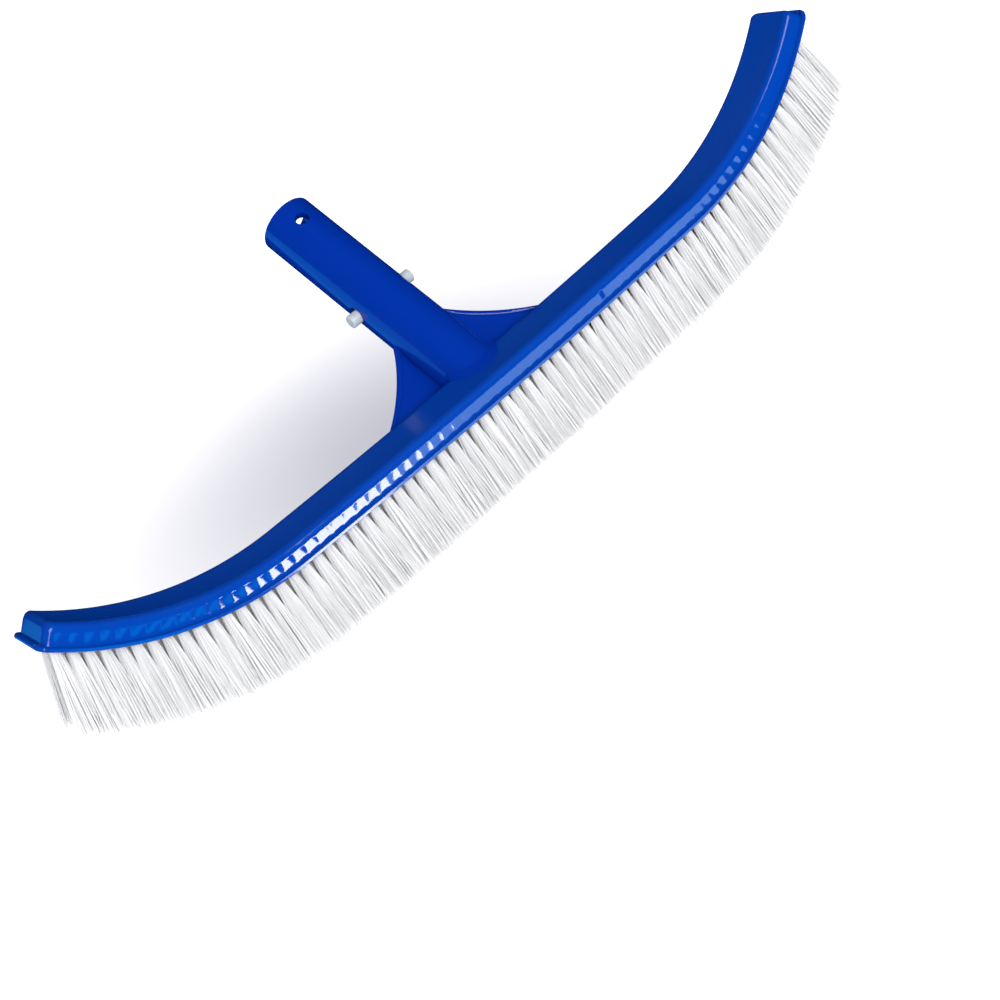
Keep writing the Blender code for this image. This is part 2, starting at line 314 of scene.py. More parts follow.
# the head is one wide arc that runs into a tight arc at each end
headSize = {
    "centreRadius": 3970 * mm,
    "endRadius": 160 * mm,
    "centreHalf": 120.4 * mm,      # arc length to the start of the tight arc
    "flangeHalf": 241.1 * mm,      # arc length to the flange's end
}
shellLow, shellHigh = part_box("back_shell")
headMiddle = (shellLow.y + shellHigh.y) / 2
flangeHalfWidth = (shellHigh.y - shellLow.y) / 2
faceHeight = shellLow.z            # the flange's lower face, at the middle of the head


def onCurve(s):
    # place and slope of the head's curve at this arc length from its middle
    side, length = (1 if s >= 0 else -1), abs(s)
    wide, tight = headSize["centreRadius"], headSize["endRadius"]
    start = headSize["centreHalf"] / wide
    if length <= headSize["centreHalf"]:
        angle = length / wide
        x, z = wide * sin(angle), wide * (1 - cos(angle))
    else:
        angle = start + (length - headSize["centreHalf"]) / tight
        x = wide * sin(start) + tight * (sin(angle) - sin(start))
        z = wide * (1 - cos(start)) + tight * (cos(start) - cos(angle))
    return side * x, z, side * angle


def headPoint(s, y, height):
    x, z, angle = onCurve(s)
    return (x - height * sin(angle), headMiddle + y, faceHeight + z + height * cos(angle))


tuftPlan = {
    "perRow": 72,
    "setback": 7.6 * mm,           # from the flange's end to the tuft field
    "roots": (-7.35 * mm, -2.45 * mm, 2.45 * mm, 7.35 * mm),
    "stagger": 0.25,
    "flare": 1.77,                 # width of the field at the tips over its width at the roots
    "fan": 0.335,                  # how far a tuft leans with the head's slope
    "length": 35.6 * mm,
    "rootRadius": 1.72 * mm,
}
tuftReach = headSize["flangeHalf"] - tuftPlan["setback"]
tuftPitch = 2 * tuftReach / tuftPlan["perRow"]


def tuftStation(row, index):
    # every second row is half a step along, as tufts are packed
    shift = tuftPlan["stagger"] if row % 2 else -tuftPlan["stagger"]
    return -tuftReach + (index + 0.5 + shift) * tuftPitch


# a channel-shaped moulding with a beaded flange, open below
shellSize = {
    "height": 11.3 * mm,
    "wallHalf": 13.3 * mm,
    "wallSetback": 2.4 * mm,
    "wallCorner": 3.6 * mm,
    "edgeRadius": 2.8 * mm,
    "draft": 0.02 * mm,
    "dish": 0.35 * mm,
    "flangeCorner": 5.0 * mm,
    "beadRadius": 1.12 * mm,
    "pocketHalf": 10.9 * mm,
    "pocketCeiling": 8.3 * mm,
    "pocketSetback": 5.2 * mm,
    "pocketCorner": 3.7 * mm,
    "sinkDepth": 0.065 * mm,
    "sinkRadius": 3.0 * mm,
    # the gate mark's station, height, radius and depth
    "gate": (60.1 * mm, 6.3 * mm, 1.05 * mm, 0.7 * mm),
    # the groove at the wall's foot: out from the wall, and down from the flange
    "groove": ((0.24 * mm, 0.16 * mm), (0.10 * mm, 0.42 * mm), (-0.04 * mm, 0.22 * mm)),
    "lip": 0.12 * mm,              # between the pocket's edge and the bead
    "slit": 0.02 * mm,             # least height of the pocket's edge above the bead
    "wallStart": 0.5 * mm,         # first row of the wall above the flange
    "dishRun": 6 * mm,             # length over which the hollow back fades out at an end
    "wallRows": 11,
    "edgeSteps": 6,
    "beadSteps": 7,
    "dishSteps": 8,
    "stepsPerTuft": 14,
}


def narrowing(inset, halfWidth, corner):
    # half width of a plan outline with round corners, this far inside its end
    inset = max(inset, 0)
    if inset >= corner:
        return halfWidth
    return halfWidth - corner + sqrt(corner ** 2 - (corner - inset) ** 2)


def sinkAt(s, height, side):
    # depth of the shallow round sink that the wall has beside each tuft, and of the gate mark
    size = shellSize
    station, level, radius, depth = size["gate"]
    away = hypot(s - station, height - level) / radius
    if side < 0 and away < 1:
        return depth * cos(pi / 2 * away)
    first = tuftStation(0 if side < 0 else len(tuftPlan["roots"]) - 1, 0)
    index = round((s - first) / tuftPitch)
    if not 0 <= index < tuftPlan["perRow"]:
        return 0
    away = hypot(s - first - index * tuftPitch, (height - size["height"] * 0.5) * 0.8) / size["sinkRadius"]
    return size["sinkDepth"] * (1 - away ** 2) if away < 1 else 0


def shellSection(s):
    size = shellSize
    inset = headSize["flangeHalf"] - abs(s)
    wallInset = inset - size["wallSetback"]
    pocketInset = inset - size["pocketSetback"]
    bead, edge = size["beadRadius"], size["edgeRadius"]
    rim = narrowing(inset, flangeHalfWidth, size["flangeCorner"])
    wall = narrowing(wallInset, size["wallHalf"], size["wallCorner"])
    thin = max(0.12, sqrt(max(0, 1 - (1 - min(inset / bead, 1)) ** 2)))
    flangeTop = bead * (1 + thin)
    if wallInset <= 0:
        top = flangeTop
    elif wallInset < edge:
        top = size["height"] - edge + sqrt(edge ** 2 - (edge - wallInset) ** 2)
    else:
        top = size["height"]
    rise = (top - flangeTop) / (size["height"] - 2 * bead)
    pocket = narrowing(pocketInset, size["pocketHalf"], size["pocketCorner"])
    under = bead * (1 - thin)
    ceiling = size["pocketCeiling"] if pocketInset > 0 else under + 1.5 * size["slit"]
    halves = []
    for side in (1, -1):
        half = [(pocket, ceiling), (pocket, under + size["slit"]), (pocket + size["lip"], under)]
        for i in range(size["beadSteps"]):
            turn = -pi / 2 + pi * i / (size["beadSteps"] - 1)
            half.append((rim - bead + bead * cos(turn), bead + bead * thin * sin(turn)))
        half += [(wall + outward, flangeTop - depth * thin) for outward, depth in size["groove"]]
        low = 2 * bead + size["wallStart"]
        high = size["height"] - edge
        for i in range(size["wallRows"]):
            share = i / (size["wallRows"] - 1)
            height = low + (high - low) * share
            sink = sinkAt(s, height, side) if wallInset > size["wallCorner"] else 0
            half.append((wall - size["draft"] * share - sink, flangeTop + (height - 2 * bead) * rise))
        for i in range(1, size["edgeSteps"] + 1):
            turn = pi / 2 * i / size["edgeSteps"]
            height = high + edge * sin(turn)
            level = flangeTop + (height - 2 * bead) * rise
            half.append((wall - size["draft"] - edge + edge * cos(turn), level))
        inner = wall - size["draft"] - edge
        for i in range(1, size["dishSteps"]):
            share = 1 - i / size["dishSteps"]
            hollow = size["dish"] * (1 - share ** 2) * min(1, max(0, wallInset) / size["dishRun"])
            half.append((inner * share, flangeTop + (size["height"] - 2 * bead) * rise - hollow * rise))
        halves.append([(side * y, h) for y, h in half])
    return halves[0] + list(reversed(halves[1]))


def shellStations():
    # arc lengths of the cross-sections: close together at the ends, and a few for each tuft between
    size = shellSize
    half = headSize["flangeHalf"]
    marks = [half]
    for i in range(1, 6):                                   # the bead's round end
        marks.append(half - size["beadRadius"] * (1 - cos(pi / 2 * i / 5)))
    wallEnd = half - size["wallSetback"]
    marks += [wallEnd + 0.01 * mm]
    for i in range(8):                                      # the end wall's corner and edge
        marks.append(wallEnd - size["wallCorner"] * (1 - cos(pi / 2 * i / 7)) - 0.001 * mm)
    pocketEnd = half - size["pocketSetback"]
    marks += [pocketEnd + 0.01 * mm]
    for i in range(6):
        marks.append(pocketEnd - size["pocketCorner"] * (1 - cos(pi / 2 * i / 5)) - 0.001 * mm)
    step = tuftPitch / size["stepsPerTuft"]
    inner = min(marks)
    s = 0
    while s < inner - step / 2:
        marks.append(s)
        s += step
    marks = sorted(set(round(m, 8) for m in marks))
    return [-m for m in reversed(marks) if m > 0] + marks


def makeBackShell():
    rings = [[headPoint(s, y, h) for y, h in shellSection(s)] for s in shellStations()]
    shell = sweepPiece("headShell", rings)
    # a satin skin where the surface looks up, glossier on the walls
    normals = np.zeros(len(shell.data.vertices) * 3, np.float32)
    shell.data.vertices.foreach_get("normal", normals)
    upward = np.clip(normals.reshape(-1, 3)[:, 2] * 1.4 - 0.2, 0, 1).astype(np.float32)
    shell.data.attributes.new("satin", "FLOAT", "POINT").data.foreach_set("value", upward)
    finishPiece(shell, blueShell, "head", ["back_shell"], 40)
    return shell


headShell = makeBackShell()
print("back shell", len(headShell.data.polygons), "faces")


# the insert that holds the tufts, with a thin ridge round their field
blockSize = {
    "gap": 0.05 * mm,
    "ridgeWidth": 0.9 * mm,
    "ridgeHeight": 0.6 * mm,
    "ridgeSlope": 0.3 * mm,
    "step": 3.2 * mm,
}


def blockSection(s):
    size = blockSize
    inset = headSize["flangeHalf"] - shellSize["pocketSetback"] - size["gap"] - abs(s)
    half = narrowing(inset, shellSize["pocketHalf"] - size["gap"], shellSize["pocketCorner"])
    ridge, slope = size["ridgeHeight"], size["ridgeSlope"]
    raised = min(1, max(0, (inset - size["ridgeWidth"]) / slope))
    field = -ridge * (1 - raised)
    inner = half - size["ridgeWidth"]
    line = [(inner - slope, field), (inner - slope / 6, -0.8 * ridge), (inner + slope / 3, -ridge),
            (half - slope / 2, -ridge), (half, -0.75 * ridge), (half, shellSize["pocketCeiling"] - slope / 3)]
    return line + [(-y, h) for y, h in reversed(line)]


def makeBlock():
    end = headSize["flangeHalf"] - shellSize["pocketSetback"] - blockSize["gap"]
    corner = [end - shellSize["pocketCorner"] * (1 - cos(pi / 2 * i / 8)) for i in range(9)]
    corner += [end - blockSize["ridgeWidth"] - blockSize["ridgeSlope"] * i for i in range(2)]
    count = ceil(min(corner) / blockSize["step"])
    right = sorted(set(corner + [min(corner) * i / count for i in range(count)]))
    stations = [-s for s in reversed(right) if s > 0] + right
    block = sweepPiece("tuftBlock", [[headPoint(s, y, h) for y, h in blockSection(s)] for s in stations])
    finishPiece(block, blueBlock, "head", ["tuft_block"])


makeBlock()
print("tuft block")


# straight filaments, packed round at the root of each tuft and spread at its tip
fibreSize = {
    "perTuft": 128,
    "radius": 0.225 * mm,
    "taper": 0.12,
    "rings": 4,
    "sunk": 1.2 * mm,
    "flareAlong": 2.9,             # tip offset over root offset, along the row
    "flareAcross": 2.15,
    "stray": 0.62 * mm,            # random wander of a tip
    "tuftStray": 0.25 * mm,        # and of the whole tuft
    "wild": (0.03, 2.4),           # share of the tips that wander further, and how much further
    "uneven": 0.75 * mm,
    "long": (0.02, 0.5 * mm),      # share of the filaments that stand proud, and by how much
    "bow": (0.3, 0.25),            # bowing out with the place in the tuft, and back against the wander
    "floorGap": 0.02 * mm,
    "tuftShade": 0.35,             # share of a filament's tone that its tuft sets
    "strips": 5,
    "seed": 41,
}


def makeFibre():
    # one filament of unit length, three-sided, with cross-cuts so that it can bow
    deselectAll()
    bpy.ops.mesh.primitive_cylinder_add(vertices=3, radius=1, depth=1, location=(0, 0, 0.5))
    fibre = bpy.context.object
    bpy.ops.object.transform_apply(location=True, rotation=False, scale=False)
    bpy.ops.object.mode_set(mode="EDIT")
    for cut in range(1, fibreSize["rings"] - 1):
        bpy.ops.mesh.select_all(action="SELECT")
        bpy.ops.mesh.bisect(plane_co=(0, 0, cut / (fibreSize["rings"] - 1)), plane_no=(0, 0, 1))
    bpy.ops.mesh.select_all(action="SELECT")
    bpy.ops.mesh.quads_convert_to_tris()
    bpy.ops.object.mode_set(mode="OBJECT")
    points = np.array([v.co for v in fibre.data.vertices])
    faces = np.array([list(p.vertices) for p in fibre.data.polygons])
    bpy.data.objects.remove(fibre)
    return points, faces


def unit(vectors):
    return vectors / np.linalg.norm(vectors, axis=-1, keepdims=True)


def tuftFibres(row, index, fibre, random):
    # every filament of one tuft: roots packed round, tips spread and a little astray
    s = tuftStation(row, index)
    x, z, angle = onCurve(s)
    lean = tuftPlan["fan"] * angle
    out = np.array([sin(lean), 0, -cos(lean)])
    across = np.array([0, 1.0, 0])
    alongRow = np.array([cos(lean), 0, sin(lean)])
    rootY = tuftPlan["roots"][row]
    middle = np.array([x, headMiddle + rootY, faceHeight + z])
    count = fibreSize["perTuft"]
    order = np.arange(count)
    radius = tuftPlan["rootRadius"] * np.sqrt((order + 0.5) / count)
    turn = order * pi * (3 - sqrt(5)) + index
    u, v = (radius * np.cos(turn))[:, None], (radius * np.sin(turn))[:, None]
    wander = random.normal(0, fibreSize["stray"], (count, 2)) + random.normal(0, fibreSize["tuftStray"], 2)
    share, further = fibreSize["wild"]
    wander *= np.where(random.random((count, 1)) < share, further, 1.0)
    length = tuftPlan["length"] - np.abs(random.normal(0, fibreSize["uneven"], (count, 1)))
    share, proud = fibreSize["long"]
    length += np.where(random.random((count, 1)) < share, proud, 0)
    root = middle + alongRow * u + across * v - out * fibreSize["sunk"]
    tip = middle + alongRow * (u * fibreSize["flareAlong"] + wander[:, :1]) + out * length
    tip += across * (v * fibreSize["flareAcross"] + wander[:, 1:] + rootY * (tuftPlan["flare"] - 1))
    spread, back = fibreSize["bow"]
    bow = alongRow * (u * spread - wander[:, :1] * back) + across * (v * spread - wander[:, 1:] * back)
    bow *= 0.5
    axis = unit(tip - root)
    side = unit(np.cross(axis, across))
    other = np.cross(axis, side)
    spin = random.uniform(0, tau, (count, 1))
    points = fibre[0]
    px = points[None, :, 0] * np.cos(spin) - points[None, :, 1] * np.sin(spin)
    py = points[None, :, 0] * np.sin(spin) + points[None, :, 1] * np.cos(spin)
    t = np.broadcast_to(points[None, :, 2:3], (count, len(points), 1))
    place = root[:, None] + (tip - root)[:, None] * t + bow[:, None] * (4 * t * (1 - t))
    thick = fibreSize["radius"] * (1 - fibreSize["taper"] * t)
    place = place + (px[..., None] * side[:, None] + py[..., None] * other[:, None]) * thick
    place[..., 2] = np.maximum(place[..., 2], fibreSize["floorGap"])
    common = fibreSize["tuftShade"]
    shade = random.uniform(0, common) + np.repeat(random.uniform(0, 1 - common, count), len(points))
    return place.reshape(-1, 3), shade, t.reshape(-1)


def makeStrip(row, strip, fibre, random):
    # the tufts of one fifth of a row, as one mesh with a shade and a length share at each point
    first = -tuftReach + strip * 2 * tuftReach / fibreSize["strips"]
    last = first + 2 * tuftReach / fibreSize["strips"]
    tufts = [tuftFibres(row, index, fibre, random) for index in range(tuftPlan["perRow"])
             if first <= tuftStation(row, index) < last]
    places, shades, reach = (np.concatenate(parts) for parts in zip(*tufts))
    points, faces = fibre
    fibres = len(places) // len(points)
    corners = (faces[None] + (np.arange(fibres) * len(points))[:, None, None]).reshape(-1, 3)
    mesh = bpy.data.meshes.new(f"tuftsRow{row + 1}Strip{strip + 1}")
    mesh.from_pydata(places, [], corners)
    for name, values in (("fibreShade", shades), ("fibreAlong", reach)):
        mesh.attributes.new(name, "FLOAT", "POINT").data.foreach_set("value", values.astype(np.float32))
    piece = bpy.data.objects.new(mesh.name, mesh)
    bpy.context.scene.collection.objects.link(piece)
    finishPiece(piece, nylon, "head", [f"tuft_row_{row + 1}_strip_{strip + 1}"], 60)


def makeTufts():
    random = np.random.default_rng(fibreSize["seed"])
    fibre = makeFibre()
    for row in range(len(tuftPlan["roots"])):
        for strip in range(fibreSize["strips"]):
            makeStrip(row, strip, fibre, random)


makeTufts()
print("tufts made")


# the tube that takes the pole, and its fillet on the back
socketSize = {
    "radius": 14.2 * mm,
    "boreRadius": 10.4 * mm,
    "length": 110 * mm,            # from the level of the back to the mouth
    "boreFloor": 6 * mm,
    "foot": 32 * mm,               # how far the tube runs on below the back
    "sides": 112,
    "mouthChamfer": 0.55 * mm,
    "crossStation": 97.9 * mm,
    "crossRadius": 3.4 * mm,
    "pinStation": 47.8 * mm,
    "pinHole": 3.45 * mm,
    "pinSwing": 1.9 * mm,          # the pin hole is this much longer towards the mouth
    "headBite": 0.9 * mm,          # how far the tube's foot goes into the back
    "wallBite": 1.2 * mm,
    "weldReach": 3.4 * mm,
    "weldSink": 0.03 * mm,
    "weldTurn": (20, 140),         # degrees round the tube: start and sweep
}
mouthMount = next(m for m in frame["record"]["mounts"] if m["name"] == "pole_socket_mouth")
along = Vector(mouthMount["axis"]).normalized()
upper = Vector((0, -along.z, along.y))            # faces up and forward
mouthMiddle = Vector(mouthMount["pos_m"])
mouthMiddle.x = 0
socketFoot = mouthMiddle - along * socketSize["length"]


def socketPoint(across, upward, station):
    return socketFoot + Vector((across, 0, 0)) + upper * upward + along * station


def addTube(name, start, direction, length, radius, sides):
    # a cylinder primitive at its place, with its place then applied to the mesh
    deselectAll()
    middle = start + direction * length / 2
    turn = Vector((0, 0, 1)).rotation_difference(direction).to_euler()
    bpy.ops.mesh.primitive_cylinder_add(vertices=sides, radius=radius, depth=length, location=middle,
                                        rotation=turn)
    tube = bpy.context.object
    tube.name = tube.data.name = name
    bpy.ops.object.transform_apply(location=True, rotation=True, scale=True)
    return tube


def addBox(name, low, high):
    deselectAll()
    bpy.ops.mesh.primitive_cube_add(size=1, location=(Vector(low) + Vector(high)) / 2)
    box = bpy.context.object
    box.name = name
    box.scale = Vector(high) - Vector(low)
    bpy.ops.object.transform_apply(location=True, rotation=True, scale=True)
    return box


def pickFaces(piece, test):
    # leaves edit mode on, with only the faces that pass the test selected
    takeUp(piece)
    bpy.ops.object.mode_set(mode="EDIT")
    bpy.ops.mesh.select_mode(type="FACE")
    bpy.ops.mesh.select_all(action="DESELECT")
    bpy.ops.object.mode_set(mode="OBJECT")
    for face in piece.data.polygons:
        face.select = test(face)
    bpy.ops.object.mode_set(mode="EDIT")


def pickEdges(piece, test):
    takeUp(piece)
    bpy.ops.object.mode_set(mode="EDIT")
    bpy.ops.mesh.select_mode(type="EDGE")
    bpy.ops.mesh.select_all(action="DESELECT")
    bpy.ops.object.mode_set(mode="OBJECT")
    points = piece.data.vertices
    for edge in piece.data.edges:
        edge.select = test(points[edge.vertices[0]].co, points[edge.vertices[1]].co)
    bpy.ops.object.mode_set(mode="EDIT")


def cutAway(piece, cutter):
    applyModifier(piece, "BOOLEAN", "cut", operation="DIFFERENCE", object=cutter)
    bpy.data.objects.remove(cutter)


def makeSocket():
    size = socketSize
    start = socketPoint(0, 0, -size["foot"])
    socket = addTube("poleSocket", start, along, size["length"] + size["foot"], size["radius"], size["sides"])
    pickFaces(socket, lambda face: face.normal.dot(along) > 0.9)
    bpy.ops.mesh.inset(thickness=size["radius"] - size["boreRadius"])
    depth = size["length"] - size["boreFloor"]
    bpy.ops.mesh.extrude_region_move(TRANSFORM_OT_translate={"value": -along * depth})
    bpy.ops.object.mode_set(mode="OBJECT")
    atMouth = mouthMiddle.dot(along)
    pickEdges(socket, lambda a, b: abs(a.dot(along) - atMouth) < 1e-5 and abs(b.dot(along) - atMouth) < 1e-5
              and abs((a - mouthMiddle).length - (b - mouthMiddle).length) < 1e-5)
    bpy.ops.mesh.bevel(offset=size["mouthChamfer"], segments=3, affect="EDGES")
    bpy.ops.object.mode_set(mode="OBJECT")
    reach = size["radius"] + 4 * mm
    cutAway(socket, addTube("crossCut", socketPoint(0, -reach, size["crossStation"]), upper, 2 * reach,
                            size["crossRadius"], 40))
    for side in (-1, 1):
        slot = addTube("slotCut", socketPoint(side * (size["boreRadius"] - 3 * mm), 0, size["pinStation"]),
                       Vector((side, 0, 0)), 10 * mm, size["pinHole"], 48)
        pinLevel = socketPoint(0, 0, size["pinStation"]).dot(along)
        for vertex in slot.data.vertices:
            if vertex.co.dot(along) > pinLevel:
                vertex.co += along * size["pinSwing"]
        cutAway(socket, slot)
    far = 90 * mm
    behind = headMiddle + shellSize["wallHalf"] - size["wallBite"]
    above = backLevel(0) - size["headBite"]
    cutAway(socket, addBox("headCut", (-far, headMiddle - far, -far), (far, behind, above)))
    under = faceHeight + 2 * shellSize["beadRadius"] + 0.3 * mm
    cutAway(socket, addBox("underCut", (-far, headMiddle - far, -far), (far, headMiddle + 2 * far, under)))
    finishPiece(socket, blueSocket, "head", ["pole_socket"], 30)


def backLevel(y):
    # height of the dished back at this distance from the head's middle line
    inner = shellSize["wallHalf"] - shellSize["draft"] - shellSize["edgeRadius"]
    return faceHeight + shellSize["height"] - shellSize["dish"] * max(0, 1 - (y / inner) ** 2)


def weldSection(turn, size, reach):
    # concave fillet between the back and the tube, at this angle round the tube
    lean = asin(along.z)
    radius = size["radius"]
    corner = socketPoint(radius * cos(turn), radius * sin(turn), 0)
    for _ in range(4):
        corner += along * (backLevel(corner.y - headMiddle) - corner.z) / along.z
    outward = Vector((cos(turn), -sin(turn) / sin(lean), 0)).normalized()
    low = corner + outward * reach
    low.z = backLevel(low.y - headMiddle) - size["weldSink"]
    high = corner + along * reach + (upper * sin(turn) + Vector((cos(turn), 0, 0))) * -size["weldSink"]
    steps = 8
    curve = []
    for i in range(steps + 1):
        t = i / steps
        curve.append(low * (1 - t) ** 2 + corner * 2 * t * (1 - t) + high * t ** 2)
    inside = corner - outward * size["headBite"] - Vector((0, 0, size["headBite"]))
    return curve + [inside]


def makeWeld():
    rings = []
    steps = 48
    start, sweep = socketSize["weldTurn"]
    for i in range(steps + 1):
        share = i / steps
        turn = radians(start + sweep * share)
        fade = min(1, sin(pi * share) * 3.2)
        rings.append(weldSection(turn, socketSize, socketSize["weldReach"] * max(fade, 0.04)))
    weld = sweepPiece("socketFillet", rings)
    finishPiece(weld, blueSocket, "head", angle=60)


makeSocket()
makeWeld()
print("pole socket")


# a thin web on each side between socket and head, with a raised rim along its hollow edge
braceSize = {
    "drop": 1.0 * mm,
    "plate": 2.4 * mm,
    "rimThick": 4.6 * mm,
    "rimWidth": 2.6 * mm,
    "rimSlope": 0.9 * mm,
    "top": (14.9 * mm, 24.4 * mm),     # ends of the hollow edge: sideways, and along the socket
    "foot": (58.0 * mm, -12.2 * mm),
    "sag": 3.6 * mm,
    "innerFoot": -14.9 * mm,
    "steps": 44,
}


def braceArc(share):
    # a point on the hollow edge, an arc that sags towards the socket
    (x0, v0), (x1, v1) = braceSize["top"], braceSize["foot"]
    chord = hypot(x1 - x0, v1 - v0)
    radius = chord ** 2 / (8 * braceSize["sag"]) + braceSize["sag"] / 2
    halfAngle = asin(chord / 2 / radius)
    turn = halfAngle * (2 * share - 1)
    run = radius * sin(turn) + chord / 2
    sag = radius * (cos(turn) - cos(halfAngle))
    ux, uv = (x1 - x0) / chord, (v1 - v0) / chord
    return Vector((x0 + ux * run + uv * sag, v0 + uv * run - ux * sag))


def braceInner(share):
    # the matching point on the inner edge: down the socket, then out along the head
    inner = socketSize["radius"] - 1.1 * mm
    top = braceSize["top"][1] - 0.6 * mm
    foot = braceSize["innerFoot"]
    if share <= 0.5:
        return Vector((inner, top + (foot - top) * share / 0.5))
    return Vector((inner + (braceSize["foot"][0] - 1.4 * mm - inner) * (share - 0.5) / 0.5, foot))


def wingRing(side, share):
    # the web's cross-section there: thin plate, then the rounded rim
    inner, outer = braceInner(share), braceArc(-0.05 + 1.11 * share)
    span = outer - inner
    rimWidth = min(0.85 * span.length, braceSize["rimWidth"])
    away = span.normalized()
    plate, bead = braceSize["plate"] / 2, braceSize["rimThick"] / 2
    slope = braceSize["rimSlope"]
    profile = [(inner, plate), (outer - away * (rimWidth + slope), plate)]
    profile += [(outer - away * (rimWidth + 0.25 * mm), plate + 0.16 * (bead - plate)),
                (outer - away * rimWidth, plate + 0.6 * (bead - plate))]
    for i in range(7):
        turn = pi / 2 * (1 - i / 6)
        point = outer - away * (rimWidth - slope) * (1 - sin(pi / 2 * i / 6))
        profile.append((point, bead * (0.35 + 0.65 * sin(turn))))
    section = profile + [(point, -up) for point, up in reversed(profile)]
    return [socketPoint(side * point[0], up - braceSize["drop"], point[1]) for point, up in section]


def makeBrace():
    steps = braceSize["steps"]
    for side, word in ((-1, "left"), (1, "right")):
        rings = [wingRing(side, i / steps) for i in range(steps + 1)]
        wing = sweepPiece(f"braceWing{word.capitalize()}", rings)
        finishPiece(wing, blueSocket, "head", [f"brace_wing_{word}"], 40)


makeBrace()
print("brace")


# the snap pins at their CAD places, with a rounded edge and a shallow dimple
pinSize = {
    "radius": 3.2 * mm,
    "edge": 0.7 * mm,
    "dimple": 0.25 * mm,
    "dimpleEdge": (0.8 * mm, 0.15 * mm),
}


def makePins():
    for side, word in ((-1, "left"), (1, "right")):
        low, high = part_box(f"snap_pin_{word}")
        start = min(abs(low.x), abs(high.x))
        end = max(abs(low.x), abs(high.x))
        pin = addTube(f"pin{word.capitalize()}", socketPoint(side * start, 0, socketSize["pinStation"]),
                      Vector((side, 0, 0)), end - start, pinSize["radius"], 56)
        pickFaces(pin, lambda face: face.normal.x * side > 0.9)
        bpy.ops.mesh.bevel(offset=pinSize["edge"], segments=4, affect="EDGES")
        bpy.ops.object.mode_set(mode="OBJECT")
        pickFaces(pin, lambda face: face.normal.x * side > 0.99)
        rim, slope = pinSize["dimpleEdge"]
        bpy.ops.mesh.inset(thickness=rim)
        bpy.ops.mesh.inset(thickness=slope, depth=-pinSize["dimple"])
        bpy.ops.object.mode_set(mode="OBJECT")
        finishPiece(pin, milk, f"{word}_leg", [f"snap_pin_{word}"], 40)


def finishClip():
    for name in ("clip_bow", "clip_leg_left", "clip_leg_right"):
        cadNodes[name].data.materials.clear()
        cadNodes[name].data.materials.append(milk)


makePins()
finishClip()
print("clip")


cameraSize = {
    "place": (-0.3203, -0.7013, 0.3576),
    "turn": (59.292, 26.816, -39.250),     # degrees
    "lens": 65.14,
    "sensor": 36,
}


def makeCamera():
    data = bpy.data.cameras.new("camera")
    data.lens, data.sensor_width = cameraSize["lens"], cameraSize["sensor"]
    camera = bpy.data.objects.new("camera", data)
    camera.location = cameraSize["place"]
    camera.rotation_euler = [radians(a) for a in cameraSize["turn"]]
    bpy.context.scene.collection.objects.link(camera)
    bpy.context.scene.camera = camera


floorSize = {
    "span": 60,
    "base": (0.58, 0.58, 0.61, 1),
    "near": (0.13, 0.13, 0.165, 1),     # painted shadow: the floor glows dimmer here, behind the socket
    "far": (0.84, 0.84, 0.84, 1),
    # centre of the painted shadow, and the distances over which it fades into the far glow
    "middle": (-0.015, 0.078, 0),
    "reach": (0.0, 0.28),
}


def makeFloor():
    size = floorSize
    deselectAll()
    bpy.ops.mesh.primitive_plane_add(size=size["span"], location=(0, 0, 0))
    floor = bpy.context.object
    floor.name = "floor"
    made, tree, shader = newMaterial("floorPaleWithPaintedShadow", {"Base Color": size["base"], "Roughness": 0.9,
                                                   "Emission Strength": 1.0})
    # the floor's glow is dimmed round the middle point: a painted soft shadow behind the socket
    where = makeNode(tree, "ShaderNodeTexCoord", output=3)
    away = makeNode(tree, "ShaderNodeVectorMath", {"operation": "DISTANCE"},
                    {0: where, 1: size["middle"]}, output=1)
    share = makeNode(tree, "ShaderNodeMapRange", {"interpolation_type": "SMOOTHSTEP"},
                     {"Value": away, "From Min": size["reach"][0], "From Max": size["reach"][1]})
    glow = mixColours(tree, share, size["near"], size["far"])
    tree.links.new(glow.socket, shader.inputs["Emission Color"])
    floor.data.materials.append(made)
    floor.visible_glossy = False


# name, place, what it faces, width and height, watts, whether polished surfaces mirror it
studioLights = [
    ("overhead", (0.1, -0.3, 1.7), (0, 0, 0), (1.4, 1.4), 1.5, False),
    ("front", (-0.35, -1.75, 0.80), (0, 0, 0.03), (1.7, 1.0), 33, True),
    ("right", (0.9, -1.15, 0.85), (0, 0, 0.03), (1.0, 1.0), 7, False),
    ("left", (-1.7, 0.1, 0.7), (0, 0, 0.05), (1.4, 0.8), 10, False),
    ("back", (0.5, 1.7, 0.9), (0, 0, 0.05), (1.4, 0.9), 12, False),
]


def addLight(name, place, aim, size, energy, glossy):
    data = bpy.data.lights.new(name, "AREA")
    data.shape, data.size, data.size_y = "RECTANGLE", size[0], size[1]
    data.energy = energy
    light = bpy.data.objects.new(name, data)
    light.location = place
    light.rotation_euler = (Vector(aim) - Vector(place)).to_track_quat("-Z", "Y").to_euler()
    light.visible_glossy = glossy
    light.visible_camera = False
    bpy.context.scene.collection.objects.link(light)


def glowMaterial(name, colour, strength):
    made = bpy.data.materials.new(name)
    made.use_nodes = True
    tree = made.node_tree
    tree.nodes.remove(tree.nodes["Principled BSDF"])
    glow = makeNode(tree, "ShaderNodeEmission", {}, {"Color": colour, "Strength": strength})
    tree.links.new(glow.socket, tree.nodes["Material Output"].inputs["Surface"])
    made.cycles.emission_sampling = "NONE"
    return made


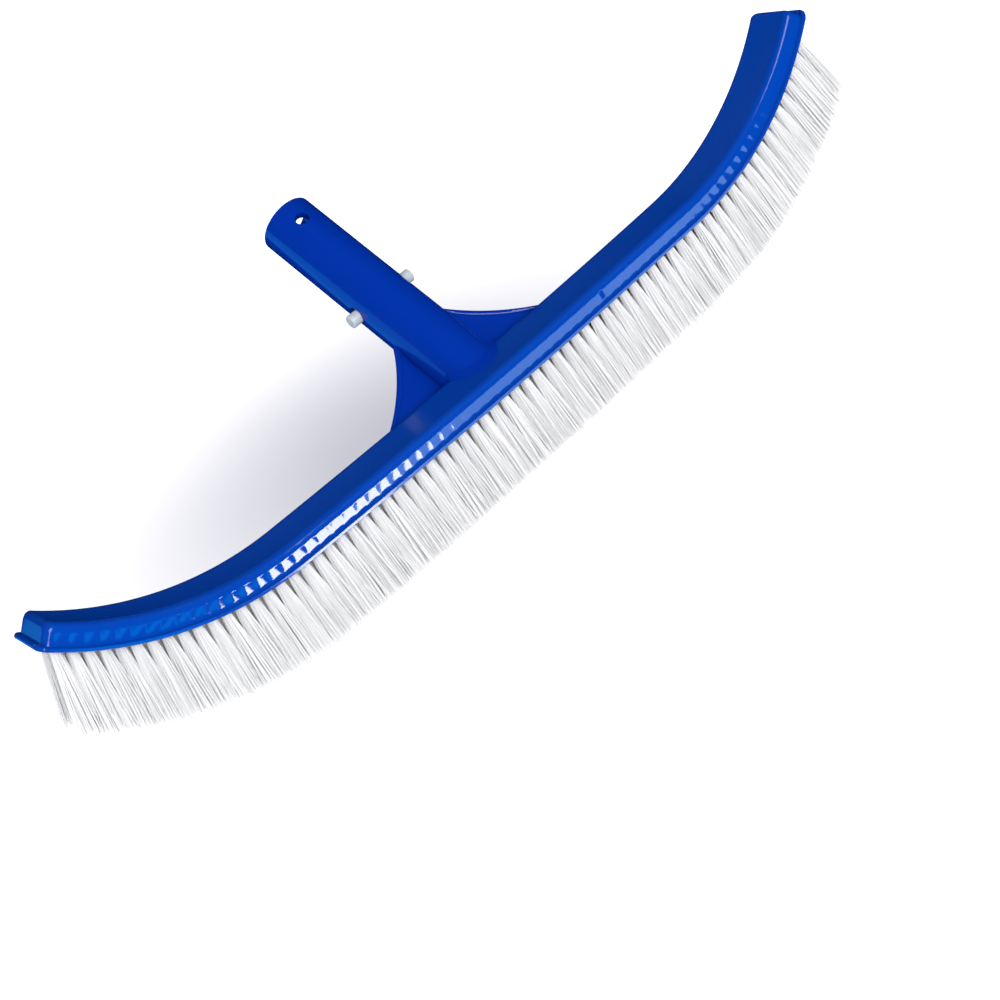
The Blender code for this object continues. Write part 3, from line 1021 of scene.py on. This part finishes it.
# reflector cards that only show in polished surfaces: name, corners, strength, colour
low = -0.5
sheen = low - 0.01
reflectorCards = [
    ("lowCard", [(0.20, -1.35, low), (0.26, -1.35, low), (0.26, -1.04, low), (0.20, -1.04, low)],
     26, (1, 1, 1, 1)),
    ("lowCardTaper", [(0.26, -1.35, low), (0.43, -1.32, low), (0.41, -1.22, low), (0.26, -1.04, low)],
     26, (1, 1, 1, 1)),
    ("lowSheen", [(0.33, -1.40, sheen), (1.0, -1.40, sheen), (1.0, -0.95, sheen), (0.33, -0.95, sheen)],
     4.4, (0.5, 0.85, 1.0, 1)),
    ("leftSheen", [(-0.45, -1.36, low), (0.15, -1.36, low), (0.15, -1.20, low), (-0.45, -1.20, low)],
     3.4, (0.0, 0.5, 1.0, 1)),
    ("backSheen", [(-0.95, 0.30, -0.3), (-0.60, 0.95, -0.3), (-0.60, 0.95, 0.40), (-0.95, 0.30, 0.40)],
     1.7, (0.03, 0.4, 0.95, 1)),
]


def addCard(name, corners, strength, colour):
    deselectAll()
    bpy.ops.mesh.primitive_plane_add(size=1, location=(0, 0, 0))
    card = bpy.context.object
    card.name = name
    order = [(-1, -1), (1, -1), (1, 1), (-1, 1)]
    for vertex in card.data.vertices:
        corner = order.index((round(vertex.co.x * 2), round(vertex.co.y * 2)))
        vertex.co = corners[corner]
    card.data.materials.append(glowMaterial(name, colour, strength))
    card.visible_camera = card.visible_diffuse = card.visible_shadow = card.visible_transmission = False


def makeBackdrop():
    # a pale dome behind everything, so that low views end in the same plain white
    deselectAll()
    bpy.ops.mesh.primitive_uv_sphere_add(segments=48, ring_count=24, radius=8, location=(0, 0, 0))
    dome = bpy.context.object
    dome.name = "backdrop"
    dome.data.materials.append(glowMaterial("backdropPale", (1, 1, 1, 1), 1.0))
    dome.visible_glossy = dome.visible_diffuse = dome.visible_shadow = dome.visible_transmission = False


def makeWorld():
    world = bpy.data.worlds.new("studio")
    bpy.context.scene.world = world
    world.use_nodes = True
    world.node_tree.nodes["Background"].inputs["Color"].default_value = (1, 1, 1, 1)
    world.node_tree.nodes["Background"].inputs["Strength"].default_value = 0.36
    world.cycles_visibility.glossy = False       # soft surrounding light without a haze on the gloss


makeCamera()
makeFloor()
makeBackdrop()
makeWorld()
for light in studioLights:
    addLight(*light)
for card in reflectorCards:
    addCard(*card)
print("floor, lights and camera")
